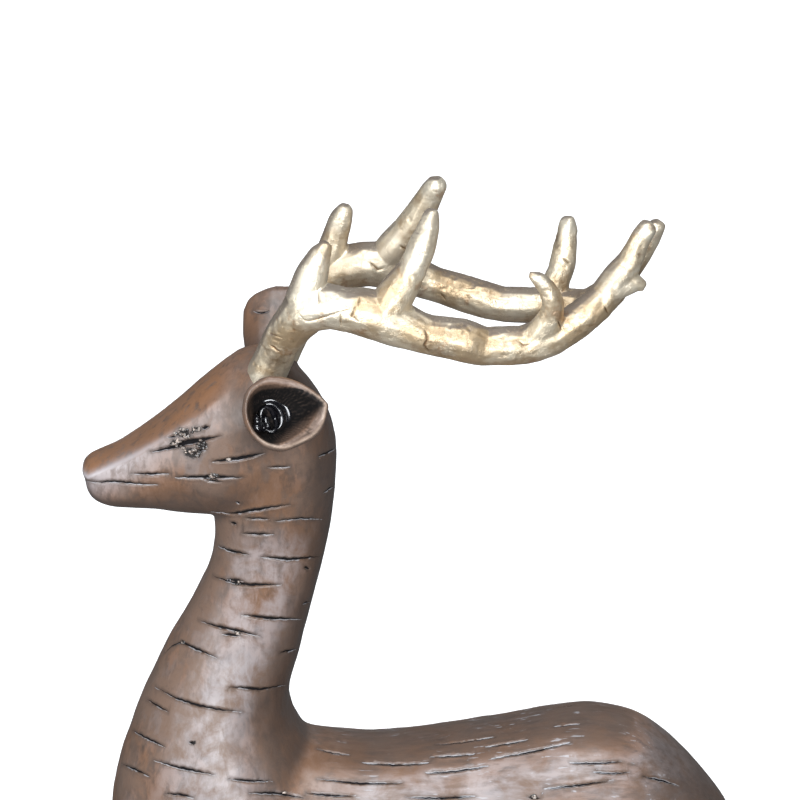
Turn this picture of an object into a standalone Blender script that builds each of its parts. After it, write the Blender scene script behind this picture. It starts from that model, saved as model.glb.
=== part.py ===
"""Reclining stag, a figurine for a table or a shelf: one brown casting on a low base, and two gold antlers.

The animal looks toward -X and lies along X, with its left side toward -Y.
The origin is the middle of the underside, and +Z is up.
"""

import math

import bmesh
import bpy
import numpy as np
from mathutils import Matrix, Vector
from mathutils.bvhtree import BVHTree

# Driving sizes, in metres.
head_length = 0.125
base_height = 0.006
base_margin = 0.005
base_edge = 0.0015
seat_gap = 0.0003
ear_wall = 0.0036
crack_width = 0.0018
crack_depth = 0.0013

# The animal's form is given in hundredths of its head's length, with heights above the base.
unit = head_length / 100
ring_points = 28
foot_reach = (135.0, 63.0)

# How finely the casting and the antlers are worked, in the same hundredths, how many times each is
# softened, and how many triangles are kept.
casting_grain = 1.36
antler_grain = 0.88
casting_soften = 6
antler_soften = 3
casting_triangles = 4300
antler_triangles = 900

# Heights between which the neck, chest and trunk run softly into each other, and how gradually.
flow_low = 20.0
flow_high = 190.0
flow_fade = 12.0
flow_soften = 40

# Head, from the nose to the nape: x, height, half height, half width, squareness.
head_rows = [
    (-133.6, 217.9, 4.4, 5.5, 2.0),
    (-132.9, 217.7, 7.2, 9.0, 2.1),
    (-130.5, 217.0, 9.2, 11.4, 2.3),
    (-126.0, 216.2, 10.8, 13.0, 2.5),
    (-118.0, 217.0, 13.0, 15.0, 2.6),
    (-102.0, 222.7, 19.1, 18.4, 2.6),
    (-86.0, 229.5, 28.0, 22.0, 2.5),
    (-70.0, 235.9, 34.0, 24.4, 2.3),
    (-58.0, 237.0, 34.2, 24.4, 2.2),
    (-46.0, 234.8, 27.0, 22.4, 2.1),
    (-38.0, 230.0, 21.0, 17.6, 2.0),
    (-33.5, 228.5, 11.0, 9.6, 2.0),
]

# Neck and chest, from the crown down: height, x, half length, half width, squareness.
neck_rows = [
    (250.0, -46.0, 8.5, 17.0, 2.0),
    (242.6, -48.8, 15.0, 20.4, 2.0),
    (231.6, -51.1, 19.8, 22.4, 2.0),
    (218.4, -54.5, 23.0, 22.4, 2.0),
    (205.0, -56.8, 24.2, 20.4, 2.0),
    (189.5, -58.0, 23.3, 19.2, 2.0),
    (176.0, -60.7, 23.5, 19.7, 2.0),
    (162.6, -65.5, 25.0, 20.8, 2.0),
    (149.0, -70.9, 26.6, 22.8, 2.0),
    (135.4, -75.9, 28.3, 25.6, 2.0),
    (121.7, -80.6, 29.6, 29.0, 2.0),
    (108.0, -82.0, 33.4, 33.0, 2.0),
    (94.2, -80.5, 39.6, 37.2, 2.0),
    (80.3, -78.8, 44.8, 40.0, 2.0),
    (66.0, -78.0, 47.4, 41.6, 2.0),
    (46.0, -77.5, 46.8, 42.0, 2.0),
    (26.0, -77.0, 42.5, 38.5, 2.0),
    (8.0, -76.0, 35.0, 33.0, 2.0),
    (-1.5, -75.5, 31.0, 30.0, 2.0),
]

# Trunk, from the chest to the rump: x, height, half height, half width, squareness.
trunk_rows = [
    (-104.0, 42.0, 22.0, 24.0, 2.0),
    (-92.0, 45.0, 38.0, 35.5, 2.0),
    (-76.0, 47.5, 48.0, 40.5, 2.0),
    (-46.0, 48.4, 50.4, 43.4, 2.0),
    (-18.0, 47.1, 49.1, 45.2, 2.0),
    (8.0, 48.5, 50.5, 46.4, 2.0),
    (34.0, 50.6, 52.6, 47.6, 2.0),
    (60.0, 53.1, 55.1, 48.8, 2.0),
    (76.0, 53.7, 55.7, 49.0, 2.0),
    (92.0, 51.5, 53.5, 47.0, 2.0),
    (109.0, 44.8, 46.8, 41.0, 2.0),
    (122.0, 37.4, 39.4, 32.5, 2.0),
    (131.0, 30.2, 32.2, 22.0, 2.0),
    (134.6, 25.5, 22.0, 11.0, 2.0),
]

# Swellings of the shoulder and the thigh: centre, then radii.
shoulder = ((-74.0, 33.0, 50.0), (30.0, 14.0, 40.0))
thigh = ((80.0, 36.0, 42.0), (36.0, 19.0, 42.0))

# Folded legs, each from its root to its hoof: x, y, height, radius.
foreleg = [
    (-66.0, 38.0, 34.0, 15.0),
    (-58.0, 42.0, 18.0, 12.0),
    (-86.0, 42.0, 13.0, 10.0),
    (-116.0, 36.0, 9.0, 8.0),
    (-122.0, 31.0, 5.0, 7.4),
    (-108.0, 27.0, 3.0, 6.0),
    (-88.0, 25.0, 2.0, 5.6),
    (-80.0, 25.0, 2.0, 7.0),
    (-70.0, 25.0, 1.0, 5.0),
]
hind_leg = [
    (78.0, 42.0, 40.0, 20.0),
    (50.0, 50.0, 24.0, 15.0),
    (62.0, 54.0, 12.0, 11.0),
    (96.0, 49.0, 9.0, 8.6),
    (111.0, 47.0, 6.0, 7.4),
    (98.0, 52.0, 3.0, 6.0),
    (66.0, 56.0, 2.0, 5.6),
    (56.0, 57.0, 2.0, 7.0),
    (44.0, 57.0, 1.0, 5.0),
]
tail = [
    (116.0, 0.0, 52.0, 9.0),
    (129.0, 0.0, 47.0, 7.5),
    (133.5, 0.0, 36.0, 6.0),
    (134.5, 0.0, 25.0, 3.0),
]

# Ears: root and rim centres of each side, half length, half height, and how sharply it ends.
ear_root = {-1: Vector((-58.5, 17.0, 247.0)), 1: Vector((-61.5, 17.0, 249.0))}
ear_rim = {-1: Vector((-50.0, 51.0, 267.0)), 1: Vector((-51.9, 50.0, 267.8))}
ear_half = (17.5, 18.5)
ear_point = 0.62
bowl_point = 1.0
bowl_back = 1.2
ear_turn = {-1: math.radians(14), 1: math.radians(27)}
ear_lean = math.radians(16)
ear_sweep = 0.12

# How far out along the ear each section lies, and its size, as shares, for the outside and the hollow.
cup_sections = ((0.0, 0.46), (0.25, 0.54), (0.5, 0.68), (0.72, 0.86), (0.9, 0.98), (0.96, 1.0), (1.0, 0.97))
bowl_sections = ((0.42, 0.3), (0.5, 0.58), (0.66, 0.8), (0.85, 0.92), (1.0, 1.0), (1.25, 1.08))

# Antlers, each branch from its root to its tip: x, distance from the middle, height, radius.
left_branches = {
    "beam": [
        (-60.9, 10.4, 261.2, 7.2),
        (-56.0, 12.0, 273.2, 7.4),
        (-50.7, 15.2, 285.0, 7.8),
        (-43.0, 20.0, 296.0, 8.7),
        (-35.5, 21.6, 298.9, 8.7),
        (-27.6, 22.4, 298.1, 8.4),
        (-19.0, 22.4, 296.8, 9.3),
        (-6.8, 22.4, 291.9, 8.7),
        (4.6, 23.2, 287.8, 7.7),
        (19.2, 22.4, 284.8, 8.4),
        (26.3, 21.6, 282.3, 7.4),
        (35.0, 20.8, 281.8, 7.4),
        (43.4, 19.2, 282.0, 7.5),
        (51.2, 18.4, 284.4, 7.7),
        (59.5, 16.8, 287.8, 7.2),
        (68.2, 14.4, 293.6, 6.7),
        (74.1, 11.6, 298.8, 6.2),
        (79.7, 8.8, 306.4, 5.3),
        (84.4, 7.2, 312.0, 4.8),
        (88.3, 5.6, 320.4, 4.0),
        (91.0, 5.0, 325.0, 3.2),
    ],
    "brow": [
        (-44.2, 19.2, 300.8, 7.1),
        (-39.4, 19.6, 314.7, 4.9),
        (-37.2, 19.6, 320.5, 3.8),
        (-35.6, 19.2, 323.0, 2.8),
    ],
    "middle": [
        (-11.9, 22.4, 297.1, 8.2),
        (-6.0, 21.6, 307.0, 6.9),
        (-0.9, 20.0, 315.2, 5.3),
        (2.6, 17.6, 323.2, 4.3),
        (5.0, 16.0, 330.1, 3.4),
        (6.2, 14.4, 335.0, 2.3),
    ],
    "hook": [
        (47.3, 20.0, 284.9, 5.9),
        (53.0, 22.4, 294.5, 4.8),
        (54.1, 24.0, 301.6, 4.0),
        (51.7, 24.8, 307.9, 3.3),
        (48.1, 24.8, 312.2, 2.3),
        (45.6, 24.8, 313.7, 1.3),
    ],
    "spur": [
        (80.0, 8.0, 306.5, 4.2),
        (86.0, 8.8, 304.2, 3.2),
        (89.0, 8.8, 302.8, 2.2),
    ],
}
right_branches = {
    "beam": [
        (-55.5, 10.4, 261.2, 7.2),
        (-51.4, 12.8, 269.8, 7.2),
        (-47.6, 16.0, 278.0, 7.4),
        (-42.0, 19.2, 286.7, 8.0),
        (-35.6, 20.8, 292.9, 8.5),
        (-28.0, 21.6, 297.4, 8.6),
        (-19.2, 21.6, 299.1, 8.6),
        (-6.0, 22.4, 296.2, 8.0),
        (2.0, 22.4, 292.7, 7.2),
        (9.2, 22.4, 289.9, 6.8),
        (19.7, 22.4, 286.0, 7.1),
        (26.1, 21.6, 284.3, 7.2),
        (34.1, 20.8, 282.3, 6.8),
        (46.1, 20.0, 282.0, 6.9),
        (56.5, 19.2, 281.9, 6.9),
        (64.9, 17.6, 282.1, 6.9),
        (71.6, 15.2, 284.9, 6.7),
        (78.5, 11.6, 292.2, 6.1),
        (84.6, 8.4, 302.6, 5.2),
        (89.6, 6.4, 310.4, 4.3),
        (93.0, 5.2, 316.9, 3.7),
        (95.4, 4.8, 322.0, 3.0),
    ],
    "brow": [
        (-37.2, 20.0, 290.7, 6.8),
        (-34.8, 20.8, 300.3, 6.1),
        (-32.3, 20.8, 309.8, 5.2),
        (-29.5, 20.0, 318.8, 4.2),
        (-28.1, 19.2, 322.8, 2.8),
    ],
    "middle": [
        (-12.0, 22.4, 299.6, 7.6),
        (-5.2, 20.8, 309.4, 6.9),
        (1.2, 18.4, 320.7, 5.9),
        (5.9, 16.0, 331.1, 4.7),
        (8.2, 14.4, 335.8, 3.6),
    ],
    "hook": [
        (54.1, 20.8, 285.6, 5.6),
        (58.5, 23.2, 295.8, 4.7),
        (60.0, 25.6, 304.4, 4.7),
        (60.8, 27.2, 310.6, 3.8),
        (61.0, 28.8, 313.8, 2.9),
    ],
}

# The bark's main cracks, set out on a picture plane as seen from the left, from a little above:
# middle of the crack across and up from the plane's middle, length, rise in degrees, and boldness.
# A long crack has one more section. Each wavers a little, and its wedge stands out by a share of its depth.
# The right flank has some of them again, and on the back these are shifted.
sight_rise = math.radians(24)
sight_reach = 2400.0
sight_aim = (-6.0, 0.0, 249.2)
crack_long = 22.0
crack_waver = 0.5
crack_stand = 0.8
crack_shift = (-9.0, -4.0)
head_cracks = [
    (-86.0, -17.6, 29.0, 12.5, 1.6),
    (-85.0, -14.0, 13.0, 17.0, 1.2),
    (-83.0, -21.4, 12.0, 26.0, 1.2),
    (-64.8, -23.2, 21.0, 8.0, 1.0),
    (-76.4, -31.2, 27.0, 0.0, 1.1),
    (-99.8, -29.4, 15.6, 1.5, 0.8),
    (-111.4, -33.4, 30.0, -1.0, 0.9),
    (-60.0, -43.6, 33.0, 5.0, 1.0),
]
neck_cracks = [
    (-41.0, -48.2, 18.0, 2.0, 0.9),
    (-57.0, -53.4, 13.0, -2.0, 0.8),
    (-66.6, -60.6, 13.0, -12.0, 1.0),
    (-43.0, -62.6, 25.0, 1.0, 1.4),
    (-61.0, -72.4, 27.0, -8.0, 1.2),
    (-51.6, -86.8, 24.0, -4.0, 1.3),
    (-68.2, -91.4, 26.0, -15.0, 1.2),
    (-83.6, -102.0, 20.0, -16.0, 1.2),
    (-57.2, -114.4, 23.0, 0.0, 1.1),
    (-80.6, -119.8, 34.0, -14.0, 1.1),
    (-100.6, -135.4, 14.0, -26.0, 1.0),
    (-86.2, -147.0, 25.0, -13.5, 1.1),
    (-60.0, -152.0, 18.0, -3.0, 1.0),
]
back_cracks = [
    (-1.6, -145.2, 26.0, 0.0, 1.0),
    (26.0, -136.4, 24.0, 7.5, 1.1),
    (22.6, -147.8, 24.0, 6.5, 0.9),
    (52.4, -140.4, 31.0, 11.5, 1.2),
    (78.4, -144.8, 21.0, 2.0, 1.0),
    (104.0, -152.4, 15.0, -15.0, 1.0),
    (71.4, -153.8, 28.0, 7.5, 1.0),
    (-16.0, -152.4, 34.0, -2.5, 1.0),
    (20.0, -172.0, 30.0, 3.0, 1.1),
    (58.0, -176.0, 26.0, -4.0, 1.1),
    (-30.0, -184.0, 24.0, 2.0, 1.0),
]


def clear_scene():
    for thing in list(bpy.data.objects):
        bpy.data.objects.remove(thing, do_unlink=True)


def resin(name, colour, roughness, metallic):
    material = bpy.data.materials.new(name)
    material.use_nodes = True
    shader = material.node_tree.nodes["Principled BSDF"]
    shader.inputs["Base Color"].default_value = (*colour, 1.0)
    shader.inputs["Roughness"].default_value = roughness
    shader.inputs["Metallic"].default_value = metallic
    return material


def between(rows, steps):
    """The rows with more read off a smooth curve through them, so that a few of them give a whole form."""
    given = np.array(rows, float)
    ends = np.vstack([2 * given[0] - given[1], given, 2 * given[-1] - given[-2]])
    found = []
    for i in range(len(given) - 1):
        before, start, end, after = ends[i : i + 4]
        for step in range(steps):
            t = step / steps
            found.append(
                0.5
                * (
                    2 * start
                    + (end - before) * t
                    + (2 * before - 5 * start + 4 * end - after) * t**2
                    + (3 * start - before - 3 * end + after) * t**3
                )
            )
    return [*found, given[-1]]


def placed(x, y, z):
    """A point of the animal's form, in metres, on the base."""
    return Vector((x * unit, y * unit, z * unit + base_height))


def skin(mesh, rings):
    """Closes the rings of points into one surface, with a flat end at the first and at the last."""
    shell = [[mesh.verts.new(point) for point in ring] for ring in rings]
    for first, second in zip(shell, shell[1:]):
        for i in range(len(first)):
            mesh.faces.new((first[i - 1], first[i], second[i], second[i - 1]))
    mesh.faces.new(shell[0])
    mesh.faces.new(reversed(shell[-1]))


def oval(half_u, half_v, squareness):
    """Points of a rounded section, two by two. 2 is an ellipse, and more is squarer."""
    points = []
    for i in range(ring_points):
        turn = 2 * math.pi * i / ring_points
        cosine, sine = math.cos(turn), math.sin(turn)
        u = half_u * math.copysign(abs(cosine) ** (2 / squareness), cosine)
        v = half_v * math.copysign(abs(sine) ** (2 / squareness), sine)
        points.append((u, v))
    return points


def upright_form(mesh, rows):
    """A form with its sections square to X."""
    skin(mesh, [
        [placed(x, u, z + v) for u, v in oval(wide, high, square)]
        for x, z, high, wide, square in between(rows, 3)
    ])


def level_form(mesh, rows):
    """A form with level sections."""
    skin(mesh, [
        [placed(x + u, v, z) for u, v in oval(long, wide, square)]
        for z, x, long, wide, square in between(rows, 3)
    ])


def swelling(mesh, centre, radii, side):
    """A muscle that stands out of the flank, as a ball drawn to its three radii."""
    x, y, z = centre
    place = Matrix.Translation(placed(x, y * side, z))
    size = Matrix.Diagonal((*(radius * unit for radius in radii), 1.0))
    bmesh.ops.create_uvsphere(mesh, u_segments=24, v_segments=16, radius=1.0, matrix=place @ size)


def limb(mesh, rows, side, steps=4):
    """A round tube through the rows, each x, y, height and radius, closed with a dome at its far end."""
    path = between(rows, steps)
    points = [placed(x, y * side, z) for x, y, z, _ in path]
    radii = [radius * unit for *_, radius in path]
    heading = (points[1] - points[0]).normalized()
    across = heading.orthogonal().normalized()
    rings = []
    for i, (point, radius) in enumerate(zip(points, radii)):
        after = points[min(i + 1, len(points) - 1)]
        before = points[max(i - 1, 0)]
        turned = (after - before).normalized()
        across = heading.rotation_difference(turned) @ across
        heading = turned
        rings.append(limb_ring(point, heading, across, radius))
    for share in (0.5, 0.85):
        tip = points[-1] + heading * radii[-1] * share
        rings.append(limb_ring(tip, heading, across, radii[-1] * math.sqrt(1 - share**2)))
    skin(mesh, rings)


def limb_ring(point, heading, across, radius):
    upward = heading.cross(across)
    ring = []
    for i in range(ring_points):
        turn = 2 * math.pi * i / ring_points
        ring.append(point + (across * math.cos(turn) + upward * math.sin(turn)) * radius)
    return ring


def ear_outline(centre, size, side, point=ear_point, forward=0.0):
    """The leaf-like outline of an ear about a point, larger or smaller, with its tip to the back."""
    half_long, half_high = ear_half
    tilt = ear_turn[side]
    points = []
    for i in range(ring_points):
        turn = 2 * math.pi * i / ring_points
        long = half_long * math.cos(turn)
        high = half_high * math.sin(turn) * abs(math.sin(turn / 2)) ** point
        u = long * math.cos(tilt) - high * math.sin(tilt)
        v = long * math.sin(tilt) + high * math.cos(tilt)
        x = centre.x + u * size - forward
        y = centre.y + (u * ear_sweep - v * math.sin(ear_lean)) * size
        z = centre.z + v * math.cos(ear_lean) * size
        points.append(placed(x, y * side, z))
    return points


def ear_cup(mesh, side):
    """The outside of an ear, widening from its root to its rim."""
    skin(mesh, [
        ear_outline(ear_root[side].lerp(ear_rim[side], along), size, side)
        for along, size in cup_sections
    ])


def ear_bowl(side):
    """The hollow of an ear, which runs out through its rim."""
    wall = ear_wall / unit / ear_half[0]
    mesh = bmesh.new()
    skin(mesh, [
        ear_outline(ear_root[side].lerp(ear_rim[side], along), size - wall, side, bowl_point, bowl_back)
        for along, size in bowl_sections
    ])
    return finished("ear_bowl", mesh, cutter=True)


def finished(name, mesh, material=None, cutter=False):
    """Makes the mesh an object of that name. A cutter is out of sight in a render."""
    bmesh.ops.recalc_face_normals(mesh, faces=mesh.faces[:])
    data = bpy.data.meshes.new(name)
    mesh.to_mesh(data)
    mesh.free()
    made = bpy.data.objects.new(name, data)
    bpy.context.scene.collection.objects.link(made)
    if material:
        data.materials.append(material)
    if cutter:
        made.hide_render = True
        made.display_type = "WIRE"
    return made


def settle(thing):
    """Gives the object the mesh that its modifiers make, and clears them."""
    bpy.context.view_layer.update()
    seen = thing.evaluated_get(bpy.context.evaluated_depsgraph_get())
    data = bpy.data.meshes.new_from_object(seen)
    thing.modifiers.clear()
    thing.data = data


def fuse(thing, grain, smoothing):
    """Runs the shapes of one casting into each other, and softens where they meet."""
    remesh = thing.modifiers.new("one skin", "REMESH")
    remesh.mode = "VOXEL"
    remesh.voxel_size = grain * unit
    soften = thing.modifiers.new("soften", "SMOOTH")
    soften.factor = 0.5
    soften.iterations = smoothing
    settle(thing)


def flow(thing, smoothing):
    """Softens further between two heights, where big forms run into each other."""
    group = thing.vertex_groups.new(name="flow")
    for vertex in thing.data.vertices:
        level = (vertex.co.z - base_height) / unit
        share = min(level - flow_low, flow_high - level) / flow_fade
        if share > 0:
            group.add([vertex.index], min(share, 1.0), "REPLACE")
    soften = thing.modifiers.new("flow", "SMOOTH")
    soften.factor = 0.5
    soften.iterations = smoothing
    soften.vertex_group = "flow"
    settle(thing)
    thing.vertex_groups.clear()


def thin_out(thing, triangles):
    """Keeps about that many triangles, more of them where the form bends."""
    count = sum(len(face.vertices) - 2 for face in thing.data.polygons)
    thin = thing.modifiers.new("thin", "DECIMATE")
    thin.ratio = triangles / count
    settle(thing)


def cut(thing, cutter, operation="DIFFERENCE"):
    """Joins the other object to this one or takes it away, and removes it."""
    joint = thing.modifiers.new(cutter.name, "BOOLEAN")
    joint.operation = operation
    joint.solver = "EXACT"
    joint.object = cutter
    settle(thing)
    bpy.data.objects.remove(cutter, do_unlink=True)


def ground_block():
    """All that lies lower than half way down the base, so that the animal stays inside it."""
    mesh = bmesh.new()
    side = 4 * foot_reach[0] * unit
    middle = Matrix.Translation((0, 0, (base_height - side) / 2))
    bmesh.ops.create_cube(mesh, size=side, matrix=middle)
    return finished("ground", mesh, cutter=True)


def base_slab():
    """The low oval base, with a rounded upper edge."""
    mesh = bmesh.new()
    rings = []
    edge_steps = 2
    for level, inset in [(0.0, 0.0)] + [
        (base_height - base_edge * (1 - math.sin(a)), base_edge * (1 - math.cos(a)))
        for a in (math.pi / 2 * i / edge_steps for i in range(edge_steps + 1))
    ]:
        long = foot_reach[0] * unit + base_margin - inset
        wide = foot_reach[1] * unit + base_margin - inset
        rings.append([
            Vector((long * u, wide * v, level))
            for u, v in base_outline()
        ])
    skin(mesh, rings)
    return finished("base", mesh, cutter=True)


def base_outline():
    """An oval with full ends, as shares of its half length and half width."""
    squareness = 2.9
    sides = 44
    outline = []
    for i in range(sides):
        turn = 2 * math.pi * i / sides
        cosine, sine = math.cos(turn), math.sin(turn)
        outline.append((
            math.copysign(abs(cosine) ** (2 / squareness), cosine),
            math.copysign(abs(sine) ** (2 / squareness), sine),
        ))
    return outline


def antler(name, branches, side, material):
    mesh = bmesh.new()
    for rows in branches.values():
        limb(mesh, rows, side)
    made = finished(name, mesh, material)
    fuse(made, antler_grain, antler_soften)
    thin_out(made, antler_triangles)
    return made


def casting(material):
    mesh = bmesh.new()
    upright_form(mesh, head_rows)
    level_form(mesh, neck_rows)
    upright_form(mesh, trunk_rows)
    limb(mesh, tail, 1)
    for side in (-1, 1):
        swelling(mesh, *shoulder, side)
        swelling(mesh, *thigh, side)
        limb(mesh, foreleg, side)
        limb(mesh, hind_leg, side)
        ear_cup(mesh, side)
    made = finished("deer_body", mesh, material)
    fuse(made, casting_grain, casting_soften)
    flow(made, flow_soften)
    thin_out(made, casting_triangles)
    cut(made, ground_block())
    cut(made, base_slab(), "UNION")
    for side in (-1, 1):
        cut(made, ear_bowl(side))
    cut(made, cracks(made))
    return made


def cracks(body):
    """All cracks of the bark as wedges that follow the surface, to be taken out of it together."""
    skin_tree = BVHTree.FromPolygons(
        [vertex.co.copy() for vertex in body.data.vertices],
        [tuple(face.vertices) for face in body.data.polygons],
    )
    mesh = bmesh.new()
    for stroke in head_cracks + neck_cracks + back_cracks:
        wedge(mesh, skin_tree, stroke, 1)
    for stroke in head_cracks[:6] + neck_cracks[3:]:
        wedge(mesh, skin_tree, stroke, -1)
    for across, up, length, rise, boldness in back_cracks[1::2]:
        wedge(mesh, skin_tree, (across + crack_shift[0], up + crack_shift[1], length, -rise, boldness), -1)
    return finished("cracks", mesh, cutter=True)


def wedge(mesh, skin_tree, stroke, side):
    """One crack: a V that is widest and deepest in its middle. A side of -1 puts it on the right flank."""
    across, up, length, rise, boldness = stroke
    stations = 3 if length < crack_long else 4
    sections = []
    for i in range(stations + 1):
        along = i / stations
        reach = (along - 0.5) * length
        u = across + reach * math.cos(math.radians(rise))
        v = up + reach * math.sin(math.radians(rise)) + crack_waver * math.sin(5 * along + across)
        found = sighted(skin_tree, u, v, side)
        if found is None:
            return
        sections.append((along, *found))
    heading = (sections[-1][1] - sections[0][1]).normalized()
    lift = crack_stand * crack_depth
    rows = []
    for along, point, outward in sections[1:-1]:
        fullness = math.sin(math.pi * along) * boldness
        depth = crack_depth * fullness
        half = 0.5 * crack_width * fullness * (1 + lift / depth)
        sideways = outward.cross(heading).normalized() * half
        rows.append((point + outward * lift + sideways, point + outward * lift - sideways, point - outward * depth))
    rims = [[mesh.verts.new(corner) for corner in row] for row in rows]
    ends = [mesh.verts.new(section[1] + section[2] * lift * 0.3) for section in (sections[0], sections[-1])]
    for first, second in zip(rims, rims[1:]):
        for i in range(3):
            mesh.faces.new((first[i - 1], first[i], second[i], second[i - 1]))
    for end, rim in zip(ends, (rims[0], rims[-1])):
        for i in range(3):
            mesh.faces.new((rim[i - 1], rim[i], end))


def sighted(skin_tree, across, up, side):
    """Where the line of sight through that point of the picture plane meets the surface, and which way it faces."""
    aim = placed(*sight_aim)
    back = Vector((0, -math.cos(sight_rise), math.sin(sight_rise)))
    upward = Vector((0, math.sin(sight_rise), math.cos(sight_rise)))
    eye = aim + back * sight_reach * unit
    target = aim + Vector((across * unit, 0, 0)) + upward * up * unit
    mirrored = Vector((1, side, 1))
    eye = eye * mirrored
    found, outward, _, _ = skin_tree.ray_cast(eye, target * mirrored - eye)
    return None if found is None else (found, outward)


def seat(body, horn):
    """Sinks the skull round an antler's foot, with a gap all round it."""
    room = horn.copy()
    room.data = horn.data.copy()
    bpy.context.scene.collection.objects.link(room)
    swell = room.modifiers.new("room", "DISPLACE")
    swell.strength = seat_gap
    swell.mid_level = 0.0
    settle(room)
    cut(body, room)


def main():
    clear_scene()
    bark = resin("brown resin", (0.115, 0.062, 0.038), 0.42, 0.0)
    gold = resin("gold paint", (0.62, 0.44, 0.2), 0.36, 0.75)
    body = casting(bark)
    left = antler("left_antler", left_branches, -1, gold)
    right = antler("right_antler", right_branches, 1, gold)
    for horn in (left, right):
        seat(body, horn)
    for thing in (body, left, right):
        thing.data.shade_smooth()
        thing.data.set_sharp_from_angle(angle=math.radians(50))


main()
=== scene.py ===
import math

import bmesh
import bpy
import numpy as np
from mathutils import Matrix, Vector
from mathutils.bvhtree import BVHTree


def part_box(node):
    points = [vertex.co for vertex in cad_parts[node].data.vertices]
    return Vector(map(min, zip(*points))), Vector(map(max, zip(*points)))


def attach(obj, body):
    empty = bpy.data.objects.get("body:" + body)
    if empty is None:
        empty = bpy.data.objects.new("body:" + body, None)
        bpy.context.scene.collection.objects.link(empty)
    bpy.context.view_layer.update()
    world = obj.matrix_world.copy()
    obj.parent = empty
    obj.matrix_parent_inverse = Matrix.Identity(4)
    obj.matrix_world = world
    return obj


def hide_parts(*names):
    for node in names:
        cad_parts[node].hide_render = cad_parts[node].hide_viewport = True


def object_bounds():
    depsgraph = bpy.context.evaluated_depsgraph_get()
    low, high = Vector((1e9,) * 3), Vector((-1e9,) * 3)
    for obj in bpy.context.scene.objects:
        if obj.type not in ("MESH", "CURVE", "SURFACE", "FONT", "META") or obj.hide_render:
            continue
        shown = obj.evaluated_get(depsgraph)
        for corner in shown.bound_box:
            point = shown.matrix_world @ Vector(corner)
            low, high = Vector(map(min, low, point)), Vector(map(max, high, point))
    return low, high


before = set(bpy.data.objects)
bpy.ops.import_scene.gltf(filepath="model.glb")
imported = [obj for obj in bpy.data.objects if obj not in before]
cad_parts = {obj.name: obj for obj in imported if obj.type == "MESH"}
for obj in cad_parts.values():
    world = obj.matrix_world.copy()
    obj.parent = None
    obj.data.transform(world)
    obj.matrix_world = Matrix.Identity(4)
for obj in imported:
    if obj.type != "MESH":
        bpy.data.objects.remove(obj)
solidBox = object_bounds()
print("frame loaded")

mm = 0.001
figureUnit = 0.00125  # a hundredth of the head's length
baseTop = 0.006

# The camera stands on the animal's left, a little above it. The picture is 800 by 800 points.
viewpoint = {
    "aim": Vector((-0.0075, 0.0, 0.3175)),
    "rise": math.radians(24),
    "distance": 3.0,
    "span": 0.4,
    "points": 800,
    "sensor": 36.0,
    "clipEnd": 50,
}


def newThing(name, data):
    made = bpy.data.objects.new(name, data)
    bpy.context.scene.collection.objects.link(made)
    return made


def viewWays():
    # back toward the camera, and upward in the picture
    angle = viewpoint["rise"]
    return Vector((0, -math.cos(angle), math.sin(angle))), Vector((0, math.sin(angle), math.cos(angle)))


def eyePlace():
    back, _ = viewWays()
    return viewpoint["aim"] + back * viewpoint["distance"]


def sightLine(across, down):
    # from the camera through a point of the picture
    step = viewpoint["span"] / viewpoint["points"]
    middle = viewpoint["points"] / 2
    _, upward = viewWays()
    target = viewpoint["aim"] + Vector(((across - middle) * step, 0, 0)) + upward * (middle - down) * step
    return eyePlace(), (target - eyePlace()).normalized()


def seenPoint(tree, across, down, mirrored=False):
    # the surface behind a picture point, or its like on the far flank: its place and the way it faces
    eye, way = sightLine(across, down)
    if mirrored:
        eye.y, way.y = -eye.y, -way.y
    return tree.ray_cast(eye, way)[:2]


def bothFlanks(tree, across, down):
    # the places behind a picture point on the near flank and the far one
    found = [seenPoint(tree, across, down, mirrored)[0] for mirrored in (False, True)]
    return [place for place in found if place is not None]


def addCamera():
    data = bpy.data.cameras.new("camera")
    data.sensor_width = viewpoint["sensor"]
    data.lens = viewpoint["sensor"] * viewpoint["distance"] / viewpoint["span"]
    data.clip_end = viewpoint["clipEnd"]
    camera = newThing("camera", data)
    camera.location = eyePlace()
    camera.rotation_euler = (math.pi / 2 - viewpoint["rise"], 0, 0)
    bpy.context.scene.camera = camera


# Plain working tools for meshes.

def figurePlace(side, x, y, z):
    # a point given in hundredths of the head's length, with y outward on its side
    return Vector((x * figureUnit, side * y * figureUnit, z * figureUnit + baseTop))


def solidCopy(name, node):
    # a CAD node's mesh, joined up, as a new object
    made = newThing(name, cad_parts[node].data.copy())
    mesh = bmesh.new()
    mesh.from_mesh(made.data)
    bmesh.ops.remove_doubles(mesh, verts=mesh.verts, dist=0.01 * mm)
    mesh.to_mesh(made.data)
    mesh.free()
    made.data.materials.clear()
    return made


def addBalls(thing, balls):
    # adds a ball for each place and radius
    mesh = bmesh.new()
    mesh.from_mesh(thing.data)
    for place, radius in balls:
        made = bmesh.ops.create_icosphere(mesh, subdivisions=3, radius=radius)
        bmesh.ops.translate(mesh, verts=made["verts"], vec=place)
    mesh.to_mesh(thing.data)
    mesh.free()


def meshNow(thing):
    # the mesh that the modifiers make
    bpy.context.view_layer.update()
    seen = thing.evaluated_get(bpy.context.evaluated_depsgraph_get())
    return bpy.data.meshes.new_from_object(seen)


def bake(thing):
    # puts that mesh in the place of the old one and its modifiers
    data = meshNow(thing)
    thing.modifiers.clear()
    thing.data = data


def reskin(thing, grain, softening):
    # one even skin over everything, softened by steps
    remesh = thing.modifiers.new("skin", "REMESH")
    remesh.mode = "VOXEL"
    remesh.voxel_size = grain
    bake(thing)
    soften(thing, softening)


def soften(thing, steps, group=""):
    smooth = thing.modifiers.new("soften", "SMOOTH")
    smooth.factor = 0.5
    smooth.iterations = steps
    smooth.vertex_group = group
    bake(thing)


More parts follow.
